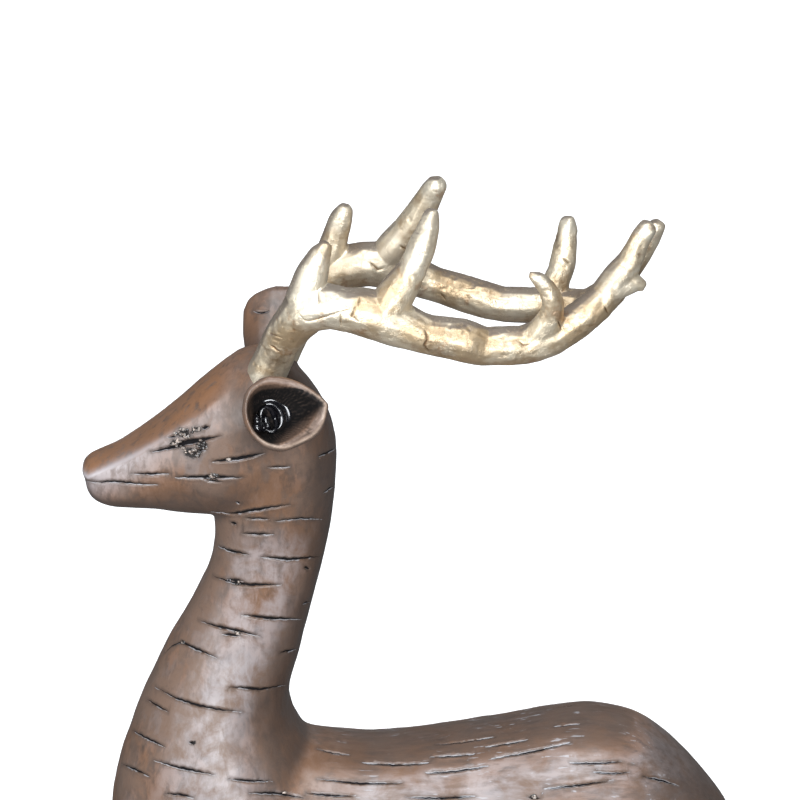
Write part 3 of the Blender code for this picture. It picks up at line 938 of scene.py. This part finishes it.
def paintBody():
    paint = Painter("bark resin")
    broad = paint.noise(40 * mm, 3, 0.5)
    patch = paint.noise(15 * mm, 4, 0.62, warp=0.5)
    fine = paint.noise(2.6 * mm, 4, 0.7)
    lengthwise = paint.noise(3.6 * mm, 4, 0.62, stretch=(0.22, 1.0, 1.3))
    upright = paint.noise(4.4 * mm, 4, 0.62, stretch=(1.0, 1.0, 0.45), warp=0.4)
    scratched = paint.noise(1.6 * mm, 2, 0.5, stretch=(0.07, 1.0, 1.0))
    trunk = paint.mask("trunk")
    shade = paint.mask("shade")
    knot = paint.mask("knot")
    across = paint.mask("crackAcross")
    inEar = paint.mask("earInside")
    streak = paint.mask("earStreak")
    brushed = lengthwise * trunk + upright * (1 - trunk)
    # how far past a crack's edge, in millimetres
    away = across.unsigned() - paint.mask("crackHalf") + (fine - 0.5) * 0.5
    black = paint.slope(away, 0.12, -0.16)
    eye = paint.slope(knot + (fine - 0.5) * 0.9, 0.36, 0.62) * 0.95
    warm = paint.mask("warmth") * paint.slope(brushed, 0.28, 0.52)
    # painted highlight in pearl on the swelling neck, breast and flank
    paintedHighlight = paint.mask("highlightPearl") * paint.slope(patch * 0.65 + brushed * 0.35, 0.35, 0.6) * 0.55
    # painted highlight on the snout's side, and a painted highlight line along its ridge
    snout = paint.mask("snoutSideHighlight") * (0.25 + paint.slope(brushed, 0.35, 0.6) * 0.5)
    snout = snout.orMore(paint.mask("ridgeHighlight") * 0.95)
    # painted shade: tops, faces turned rearward and undersides darkened with the deep brown
    dark = (paint.mask("upward") * (0.15 + trunk * 0.5)).orMore(shade * 0.85) * (0.6 + patch * 0.7)
    scratch = paint.slope(scratched, 0.62, 0.7) * trunk * paint.slope(patch, 0.48, 0.56) * (1 - shade)
    stain = paint.slope(paint.mask("crackNear") + fine * 2.2, 3.6, 1.4)
    # painted highlight: silver along the lower lip of the cracks, broken in patches
    lip = paint.slope(away, 0.55, 0.2) * paint.slope(across, trunk * 1.4, -0.3)
    lip = lip * paint.slope(patch, 0.42, 0.54)
    colour = paint.layered(bodyPaint, "mid", [
        (paint.slope(broad * 0.5 + patch * 0.5, 0.42, 0.6) * 0.85, "deep"),
        (paint.slope(fine * 0.5 + brushed * 0.5, 0.52, 0.66) * 0.45, "deep"),
        (paint.slope(patch * 0.6 + brushed * 0.4, 0.5, 0.62) * 0.4, "dusty"),
        (paint.slope(broad * 0.5 + patch * 0.2 + brushed * 0.3, 0.46, 0.57) * 0.6, "orange"),
        (warm * 0.85, "orange"),
        (paintedHighlight.orMore(snout), "highlightPearl"),
        (dark.held(), "deep"),
        (scratch * 0.5, "silver"),
        (stain * 0.45, "deep"),
        # painted shade round the ear's root
        (paint.mask("earRootShade") * (0.45 + patch * 0.5), "deep"),
        # the painted highlight on the cracks' lower lips
        (lip * (0.5 + trunk * 0.3), "silver"),
        (paint.slope(knot + (patch - 0.5) * 0.5, 0.05, 0.4) * 0.5, "deep"),
        (eye, "earBlack"),
        (black, "wash"),
    ])
    uneven = 0.8 + (patch - 0.5) + (streak - 0.5) * 0.9 + (fine - 0.5) * 0.8
    lit = (paint.mask("earLit") * uneven).held()
    # inside the ears: black painted shade, and brown painted light where the ear is taken as lit
    bowl = paint.layered(bodyPaint, "earBlack", [
        (paint.slope(streak * 0.6 + fine * 0.4, 0.45, 0.7) * 0.6, "deep"),
        (lit, "earBrown"),
    ])
    colour = paint.blend(inEar, colour, bowl)
    # painted highlight on the ear's rim
    colour = paint.blend((paint.mask("earRimHighlight") * (0.1 + fine * 1.3)).held(), colour, bodyPaint["earRimHighlight"])
    matt = black.orMore(eye * 0.8).orMore(inEar * (1 - lit))
    rough = bodyPaint["roughness"] + (patch - 0.5) * 0.3 + (brushed - 0.5) * 0.2 + matt * 0.4
    gloss = (1 - matt) * (0.55 + (patch - 0.5) * 1.6 + (brushed - 0.5) * 1.2).held()
    height = brushed * 0.4 + fine * 0.35 + paint.slope(away, -0.3, 0.6) * 1.3
    return paint.finish({
        "Base Color": colour,
        "Roughness": rough,
        "Specular IOR Level": bodyPaint["specular"],
        "Coat Weight": gloss * bodyPaint["coat"],
        "Coat IOR": bodyPaint["coatIor"],
        "Coat Roughness": bodyPaint["coatRoughness"],
        "Normal": paint.bump(height, bodyPaint["bump"], bodyPaint["bumpDepth"]),
    })


# The antlers.
antlerForm = {
    "grain": 0.62 * mm,
    "quickGrain": 1.0 * mm,
    "softening": 4,
    # size and height: the hand's unevenness, low sharp seams, and small dents in patches
    "swell": (14 * mm, 0.4 * mm),
    "seams": (6.5 * mm, 0.16 * mm),
    "chips": (2.4 * mm, 0.26 * mm),
    "chipPatch": 16 * mm,
    "grow": 0.5 * mm,
    "foot": 0.4 * mm,
    "footLevels": (0.338, 0.35),
    # ways that a side faces where shade is painted on the gold: the top, and near the root the front too
    "top": (-0.2, 0.2, 0.96),
    "front": (-0.85, 0.2, 0.5),
    "shadeLevels": (0.335, 0.35),
    # an antler that meets itself this near to the skin has a joint there
    "jointFrom": 0.4 * mm,
    "jointReach": 7 * mm,
    # where it is fuller than the solid: picture point, reach and height
    "fuller": {
        "left_antler": [
            ((302, 268), 13 * mm, 1.3 * mm), ((284, 298), 12 * mm, 1.4 * mm),
            ((424, 246), 12 * mm, 1.7 * mm), ((433, 217), 7 * mm, 1.0 * mm),
            ((541, 280), 5 * mm, 0.7 * mm), ((650, 228), 8 * mm, 1.1 * mm),
            ((330, 300), 14 * mm, 0.9 * mm),
        ],
        "right_antler": [
            ((342, 212), 8 * mm, 1.1 * mm), ((435, 187), 8 * mm, 1.1 * mm), ((567, 224), 8 * mm, 0.9 * mm),
            ((657, 229), 7 * mm, 0.9 * mm), ((385, 245), 14 * mm, 0.9 * mm),
        ],
    },
    # the spur's web: from the beam to the spur's end, with the radius at each
    "webs": {"left_antler": [((616, 297), (641, 284), 5.0 * mm, 2.4 * mm)], "right_antler": []},
    "webBalls": 9,
    "crackShare": 0.7,  # of the depth that the body's cracks have
    "cracks": {
        "left_antler": [
            ([(425, 330), (428, 338), (424, 346), (430, 352)], 0.8),
            ([(299, 313), (306, 321), (316, 319), (338, 312), (350, 309)], 0.45),
            ([(340, 311), (341, 328)], 0.4),
            ([(318, 290), (319, 306)], 0.35),
            ([(262, 327), (270, 333), (283, 338)], 0.4),
            ([(356, 306), (352, 316), (360, 322)], 0.6),
            ([(360, 297), (358, 307)], 0.4),
            ([(517, 340), (524, 346), (530, 344)], 0.6),
            ([(556, 318), (562, 330)], 0.7),
            ([(604, 305), (609, 318)], 0.6),
            ([(270, 345), (280, 352)], 0.7),
        ],
        "right_antler": [
            ([(370, 262), (378, 270), (384, 268)], 0.7),
            ([(400, 245), (408, 250)], 0.6),
            ([(440, 292), (446, 300)], 0.5),
            ([(562, 258), (570, 264)], 0.6),
        ],
    },
}


def jointShare(points, facing, antler):
    # 1 in the forks and creases, where the antler faces itself a short way off
    tree = meshTree(antler)
    found = np.zeros(len(points))
    for i, way in enumerate(facing):
        start = Vector(points[i]) + Vector(way) * antlerForm["jointFrom"]
        if tree.ray_cast(start, Vector(way), antlerForm["jointReach"])[0] is not None:
            found[i] = 1
    return found


def webBalls(tree, node):
    # a row of balls, ever smaller, in the corner between the beam and a spur
    balls = []
    for start, end, thick, thin in antlerForm["webs"][node]:
        ends = []
        for spot, radius in ((start, thick), (end, thin)):
            place, facing = seenPoint(tree, *spot)
            if place is not None:
                ends.append(place - facing * radius)
        if len(ends) == 2:
            for share in np.linspace(0, 1, antlerForm["webBalls"]):
                balls.append((ends[0].lerp(ends[1], share), thick + (thin - thick) * share))
    return balls


def antlerHeight(points, lines, tree, node, seed):
    # how much the skin is raised: cracks, unevenness, chips, the fuller places and the foot
    height, _, _, _ = crackMarks(points, lines)
    height *= antlerForm["crackShare"]
    size, lift = antlerForm["swell"]
    height += lift * roughness3d(points, size, seed)
    size, lift = antlerForm["seams"]
    height += lift * (0.35 - np.abs(roughness3d(points, size, seed + 1)))
    size, lift = antlerForm["chips"]
    chipped = rise(roughness3d(points, antlerForm["chipPatch"], seed + 7), 0.05, 0.4)
    height -= lift * chipped * rise(roughness3d(points, size, seed + 8), 0.0, 0.7)
    height += antlerForm["grow"]
    for spot, reach, lift in antlerForm["fuller"][node]:
        place, _ = seenPoint(tree, *spot)
        if place is not None:
            height += lift * nearShare(points, place, reach, 1.5)
    return height + antlerForm["foot"] * (1 - rise(points[:, 2], *antlerForm["footLevels"]))


def buildAntler(name, node, seed):
    antler = solidCopy(name, node)
    addBalls(antler, webBalls(meshTree(antler), node))
    grain = antlerForm["grain"]
    reskin(antler, grain, antlerForm["softening"])
    tree = meshTree(antler)
    lines = listedLines(tree, antlerForm["cracks"][node])
    points, facing = places(antler.data), facings(antler.data)
    height = antlerHeight(points, lines, tree, node, seed)
    moved = points + facing * height[:, None]
    # the tips stay under the solids' highest point
    moved[:, 2] = np.minimum(moved[:, 2], solidBox[1][2])
    setPlaces(antler.data, moved)
    antler.data.shade_smooth()
    antlerMasks(antler, lines, height)
    return antler


def antlerMasks(antler, lines, height):
    # where the gold is cracked, hollow or jointed, and where shade is painted on it
    points, facing = places(antler.data), facings(antler.data)
    _, across, half, _ = crackMarks(points, lines)
    # painted shade: tops, the front near the root and the undersides turn taupe
    top = rise(facing @ np.array(antlerForm["top"]), 0.52, 0.76)
    front = rise(facing @ np.array(antlerForm["front"]), 0.45, 0.85)
    front = front * (1 - rise(points[:, 0], -0.03, -0.01))
    paintedShade = np.maximum(top, front) * rise(points[:, 2], *antlerForm["shadeLevels"])
    setMasks(antler.data, {
        "crackAcross": np.clip(across / mm, -5, 5),
        "crackHalf": half / mm,
        "hollow": np.clip((antlerForm["grow"] - height) / mm, -1, 1),
        "joint": jointShare(points, facing, antler),
        "paintedShade": np.maximum(paintedShade, 0.8 * rise(-facing[:, 2], 0.7, 0.95)),
    })


# Champagne gold, brushed on: cream where it is rubbed, umber in the creases, and painted shade in taupe on
# the tops, the undersides and the front near the root.
goldPaint = {
    "pale": (0.87, 0.75, 0.56),
    "gold": (0.6, 0.45, 0.28),
    "umber": (0.16, 0.08, 0.032),
    "cream": (0.96, 0.9, 0.76),
    "shadeTaupe": (0.15, 0.12, 0.1),
    "rust": (0.42, 0.2, 0.075),
    "metallic": 0.76,
    "roughness": 0.44,
    "bump": 0.42,
    "bumpDepth": 0.5 * mm,
}


def paintGold():
    paint = Painter("gold paint")
    broad = paint.noise(20 * mm, 3, 0.5)
    blotch = paint.noise(11 * mm, 3, 0.6)
    fine = paint.noise(1.4 * mm, 4, 0.65)
    brushed = paint.noise(2.4 * mm, 3, 0.6, stretch=(0.6, 1.0, 1.2), warp=0.5)
    flake = paint.slope(paint.noise(6.5 * mm, 5, 0.7, warp=0.6), 0.5, 0.54)
    away = paint.mask("crackAcross").unsigned() - paint.mask("crackHalf") + (fine - 0.5) * 0.5
    hollow = paint.mask("hollow")
    # painted shade in taupe, less metallic and rougher there
    paintedShade = paint.mask("paintedShade") * paint.slope(fine * 0.45 + brushed * 0.55, 0.25, 0.48)
    colour = paint.layered(goldPaint, "gold", [
        (paint.slope(broad + (brushed - 0.5) * 0.3, 0.4, 0.62), "pale"),
        (paint.slope(hollow * -1.0 + (fine - 0.5) * 0.5, 0.0, 0.5) * 0.5, "cream"),
        (paint.slope(hollow + (fine - 0.5) * 0.5, 0.1, 0.5) * 0.5, "umber"),
        (paint.slope(blotch * 0.75 + fine * 0.25, 0.57, 0.66) * 0.45, "rust"),
        (paintedShade * 0.88, "shadeTaupe"),
        (paint.mask("joint") * paint.slope(fine, 0.35, 0.65) * 0.6, "umber"),
        (paint.slope(away, 0.1, -0.15) * 0.75, "umber"),
    ])
    rough = goldPaint["roughness"] + (brushed - 0.5) * 0.3 + paintedShade * 0.1
    height = brushed * 0.3 + fine * 0.3 + flake * 0.45 + paint.slope(away, -0.2, 0.4) * 0.8
    return paint.finish({
        "Base Color": colour,
        "Metallic": (1 - paintedShade * 0.7) * goldPaint["metallic"],
        "Roughness": rough,
        "Normal": paint.bump(height, goldPaint["bump"], goldPaint["bumpDepth"]),
    })


# Grit of the eye knot and the black curls in the ears come from node trees.

class Wiring:
    def __init__(self, name, inputs):
        self.tree = bpy.data.node_groups.new(name, "GeometryNodeTree")
        self.tree.interface.new_socket("Geometry", in_out="INPUT", socket_type="NodeSocketGeometry")
        self.idents = {}
        for label, kind, value in inputs:
            socket = self.tree.interface.new_socket(label, in_out="INPUT", socket_type=kind)
            if value is not None:
                socket.default_value = value
            self.idents[label] = socket.identifier
        self.tree.interface.new_socket("Geometry", in_out="OUTPUT", socket_type="NodeSocketGeometry")
        self.source = self.tree.nodes.new("NodeGroupInput")
        self.sink = self.tree.nodes.new("NodeGroupOutput")

    def node(self, kind, settings=None, sockets=None):
        made = self.tree.nodes.new(kind)
        for key, value in (settings or {}).items():
            setattr(made, key, value)
        for key, value in (sockets or {}).items():
            if isinstance(value, bpy.types.NodeSocket):
                self.tree.links.new(value, made.inputs[key])
            else:
                made.inputs[key].default_value = value
        return made

    def given(self, label):
        return self.source.outputs[label]

    def end(self, geometry):
        real = self.node("GeometryNodeRealizeInstances", {}, {"Geometry": geometry})
        cover = self.node("GeometryNodeSetMaterial", {}, {
            "Geometry": real.outputs[0], "Material": self.given("Material"),
        })
        self.tree.links.new(cover.outputs[0], self.sink.inputs[0])

    def run(self, name, source, values):
        # the tree's result on a source object, as a piece of its own; the source goes
        modifier = source.modifiers.new(self.tree.name, "NODES")
        modifier.node_group = self.tree
        for label, value in values.items():
            modifier[self.idents[label]] = value
        data = meshNow(source)
        source.modifiers.clear()
        bpy.data.objects.remove(source)
        data.shade_smooth()
        return newThing(name, data)


# Black varnish laid on in the bowl of each ear: bent strokes, and a few drops at the side.
# A stroke has its middle, its reach along and across the ear, where it starts and ends in degrees,
# and its thickness.
earCurl = {
    "strokes": [
        ((-0.22, -0.02), (0.19, 0.27), (200, -150), 1.0),
        ((-0.25, -0.06), (0.04, 0.12), (80, 300), 1.2),
        ((-0.16, 0.02), (0.27, 0.29), (100, -70), 1.2),
        ((-0.13, 0.03), (0.40, 0.36), (115, -40), 1.45),
        ((-0.15, 0.0), (0.40, 0.34), (160, 215), 1.2),
        ((-0.56, -0.2), (0.07, 0.06), (200, 20), 1.9),
        ((-0.44, -0.17), (0.03, 0.07), (110, -60), 1.6),
        ((0.33, -0.26), (0.03, 0.03), (180, 30), 0.9),
    ],
    "steps": 26,
    "thick": 1.42 * mm,
    "above": 0.045,  # over the bowl's floor, as a share of the ear's length
    "sides": 10,
    "blunt": 0.45,
    "uneven": 0.16,
}


def curlPath(name, side):
    # the strokes of one ear, laid a little over the floor of its bowl
    path = bpy.data.curves.new(name, "CURVE")
    path.dimensions = "3D"
    floor = np.array(earForm["bowlSize"]) - earForm["wall"]
    for number, (middle, reach, (first, last), thick) in enumerate(earCurl["strokes"]):
        spline = path.splines.new("POLY")
        spline.points.add(earCurl["steps"] - 1)
        for i, point in enumerate(spline.points):
            share = i / (earCurl["steps"] - 1)
            turn = math.radians(first + (last - first) * share)
            long = middle[0] + reach[0] * math.cos(turn)
            high = middle[1] + reach[1] * math.sin(turn)
            along = float(np.interp(math.hypot(long, high), floor, earForm["bowlOut"])) + earCurl["above"]
            point.co = (*earPlace(side, along, long, high), 1)
            taper = math.sin(math.pi * min(max(share, 0.04), 0.96)) ** earCurl["blunt"]
            point.radius = thick * taper * (1 + earCurl["uneven"] * math.sin(turn * 3.1 + number))
    return newThing(name, path)


def buildCurl(name, side, paint):
    wiring = Wiring("curl", [
        ("Thickness", "NodeSocketFloat", 1 * mm),
        ("Sides", "NodeSocketInt", 8),
        ("Material", "NodeSocketMaterial", None),
    ])
    ring = wiring.node("GeometryNodeCurvePrimitiveCircle", {}, {
        "Resolution": wiring.given("Sides"), "Radius": wiring.given("Thickness"),
    })
    radius = wiring.node("GeometryNodeInputRadius")
    tube = wiring.node("GeometryNodeCurveToMesh", {}, {
        "Curve": wiring.given("Geometry"),
        "Profile Curve": ring.outputs[0],
        "Fill Caps": True,
        "Scale": radius.outputs[0],
    })
    wiring.end(tube.outputs[0])
    return wiring.run(name, curlPath(name + " path", side), {
        "Thickness": earCurl["thick"], "Sides": earCurl["sides"], "Material": paint,
    })


eyeGrit = {
    "density": 1000000.0,
    "radius": 0.92 * mm,
    "fade": 1.8,
    "seed": 4,
    "from": 0.3,  # no grains where the knot's share is less
    "smallest": (0.4, 0.4, 0.4),
    "largest": (2.1, 1.3, 1.1),
}


def knotPatch(name, body):
    # the body's own surface at the knots
    patch = newThing(name, body.data.copy())
    share = np.empty(len(body.data.vertices), np.float32)
    body.data.attributes["knot"].data.foreach_get("value", share)
    mesh = bmesh.new()
    mesh.from_mesh(patch.data)
    mesh.verts.ensure_lookup_table()
    gone = [vertex for vertex in mesh.verts if share[vertex.index] < eyeGrit["from"]]
    bmesh.ops.delete(mesh, geom=gone, context="VERTS")
    mesh.to_mesh(patch.data)
    mesh.free()
    return patch


def buildGrit(name, body, paint):
    # grains scattered over the knots, thickest in their middle
    wiring = Wiring("grit", [
        ("Density", "NodeSocketFloat", 100000.0),
        ("Grain", "NodeSocketFloat", 1 * mm),
        ("Seed", "NodeSocketInt", 1),
        ("Material", "NodeSocketMaterial", None),
    ])
    knot = wiring.node("GeometryNodeInputNamedAttribute", {"data_type": "FLOAT"}, {"Name": "knot"})
    share = wiring.node("ShaderNodeMath", {"operation": "POWER"}, {
        0: knot.outputs["Attribute"], 1: eyeGrit["fade"],
    })
    thick = wiring.node("ShaderNodeMath", {"operation": "MULTIPLY"}, {
        0: share.outputs[0], 1: wiring.given("Density"),
    })
    spots = wiring.node("GeometryNodeDistributePointsOnFaces", {"distribute_method": "RANDOM"}, {
        "Mesh": wiring.given("Geometry"), "Density": thick.outputs[0], "Seed": wiring.given("Seed"),
    })
    grain = wiring.node("GeometryNodeMeshIcoSphere", {}, {
        "Radius": wiring.given("Grain"), "Subdivisions": 2,
    })
    size = wiring.node("FunctionNodeRandomValue", {"data_type": "FLOAT_VECTOR"}, {
        0: eyeGrit["smallest"], 1: eyeGrit["largest"], "Seed": wiring.given("Seed"),
    })
    spread = wiring.node("GeometryNodeInstanceOnPoints", {}, {
        "Points": spots.outputs["Points"],
        "Instance": grain.outputs["Mesh"],
        "Rotation": spots.outputs["Rotation"],
        "Scale": size.outputs[0],
    })
    wiring.end(spread.outputs[0])
    return wiring.run(name, knotPatch(name + " patch", body), {
        "Density": eyeGrit["density"],
        "Grain": eyeGrit["radius"],
        "Seed": eyeGrit["seed"],
        "Material": paint,
    })


curlPaint = {
    "black": (0.006, 0.006, 0.009),
    "worn": (0.028, 0.026, 0.03),
    "roughness": 0.1,
    "specular": 0.9,
    "coatRoughness": 0.06,
    "bump": 0.3,
    "bumpDepth": 0.4 * mm,
}


def paintCurl():
    paint = Painter("black varnish")
    fine = paint.noise(1.2 * mm, 3, 0.6)
    return paint.finish({
        "Base Color": paint.layered(curlPaint, "black", [(paint.slope(fine, 0.45, 0.75), "worn")]),
        "Roughness": curlPaint["roughness"] + fine * 0.1,
        "Specular IOR Level": curlPaint["specular"],
        "Coat Weight": 1.0,
        "Coat Roughness": curlPaint["coatRoughness"],
        "Normal": paint.bump(fine, curlPaint["bump"], curlPaint["bumpDepth"]),
    })


gritPaint = {
    "dark": (0.02, 0.015, 0.013),
    "pale": (0.5, 0.41, 0.35),
    "roughness": 0.16,
    "coatRoughness": 0.1,
    "bump": 0.3,
    "bumpDepth": 0.3 * mm,
}


def paintGrit():
    paint = Painter("eye grit")
    fine = paint.noise(1.1 * mm, 3, 0.6)
    lump = paint.noise(4 * mm, 2, 0.5)
    share = paint.slope(lump * 0.7 + fine * 0.3, 0.45, 0.58)
    return paint.finish({
        "Base Color": paint.layered(gritPaint, "dark", [(share, "pale")]),
        "Roughness": gritPaint["roughness"] + fine * 0.12,
        "Coat Weight": 1.0,
        "Coat Roughness": gritPaint["coatRoughness"],
        "Normal": paint.bump(fine, gritPaint["bump"], gritPaint["bumpDepth"]),
    })


# Floor and light. The floor shows white and throws little light back on the figure.
studio = {
    "floor": (0.92, 0.92, 0.92),
    "floorSize": 8,
    "floorRoughness": 0.9,
    "glow": 0.5,
    "world": (0.84, 0.86, 0.9),
    "worldStrength": 0.17,
    "lampAim": (0, 0, 0.25),
    # name, place, size and power
    "lamps": [
        ("left", (-1.75, -2.15, 0.95), 2.0, 50.0),
        ("front", (0.1, -2.8, 0.9), 1.5, 74.0),
        ("high", (0.1, -0.9, 2.85), 1.6, 54.0),
        ("back", (0.7, 2.7, 1.5), 1.6, 52.0),
    ],
    "lampTint": (0.93, 0.965, 1.0),
}


def setStudio():
    mesh = bmesh.new()
    bmesh.ops.create_grid(mesh, x_segments=1, y_segments=1, size=studio["floorSize"])
    data = bpy.data.meshes.new("floor")
    mesh.to_mesh(data)
    mesh.free()
    floor = newThing("floor", data)
    paint = Painter("pale floor")
    data.materials.append(paint.finish({
        "Base Color": studio["floor"],
        "Roughness": studio["floorRoughness"],
        "Emission Color": (1.0, 1.0, 1.0),
        "Emission Strength": studio["glow"],
    }))
    floor.visible_diffuse = False
    floor.visible_glossy = False
    world = bpy.data.worlds.new("studio")
    bpy.context.scene.world = world
    world.use_nodes = True
    sky = world.node_tree.nodes["Background"]
    sky.inputs["Color"].default_value = (*studio["world"], 1)
    sky.inputs["Strength"].default_value = studio["worldStrength"]
    for name, place, size, power in studio["lamps"]:
        lamp = bpy.data.lights.new(name, "AREA")
        lamp.size = size
        lamp.energy = power
        lamp.color = studio["lampTint"]
        made = newThing(name, lamp)
        made.location = place
        toAim = Vector(studio["lampAim"]) - Vector(place)
        made.rotation_euler = toAim.to_track_quat("-Z", "Y").to_euler()
        made.visible_glossy = name != "back"  # no hard rim of light along the outline
    bpy.context.scene.view_settings.view_transform = "Standard"


addCamera()
print("camera set")
body = buildBody()
print("body built:", len(body.data.polygons))
body.data.materials.append(paintBody())
grit = buildGrit("eye_grit", body, paintGrit())
print("grit built:", len(grit.data.polygons))
varnish = paintCurl()
curls = [buildCurl("left_ear_curl", -1, varnish), buildCurl("right_ear_curl", 1, varnish)]
print("curls built:", sum(len(curl.data.polygons) for curl in curls))
leftAntler = buildAntler("left_antler_gold", "left_antler", 20)
rightAntler = buildAntler("right_antler_gold", "right_antler", 40)
gold = paintGold()
for antler in (leftAntler, rightAntler):
    antler.data.materials.append(gold)
    print("antler built:", len(antler.data.polygons))
setStudio()
print("studio set")

for piece in (body, grit, *curls, leftAntler, rightAntler):
    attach(piece, "root")
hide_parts("deer_body")
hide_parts("left_antler")
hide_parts("right_antler")

print("pieces in place")
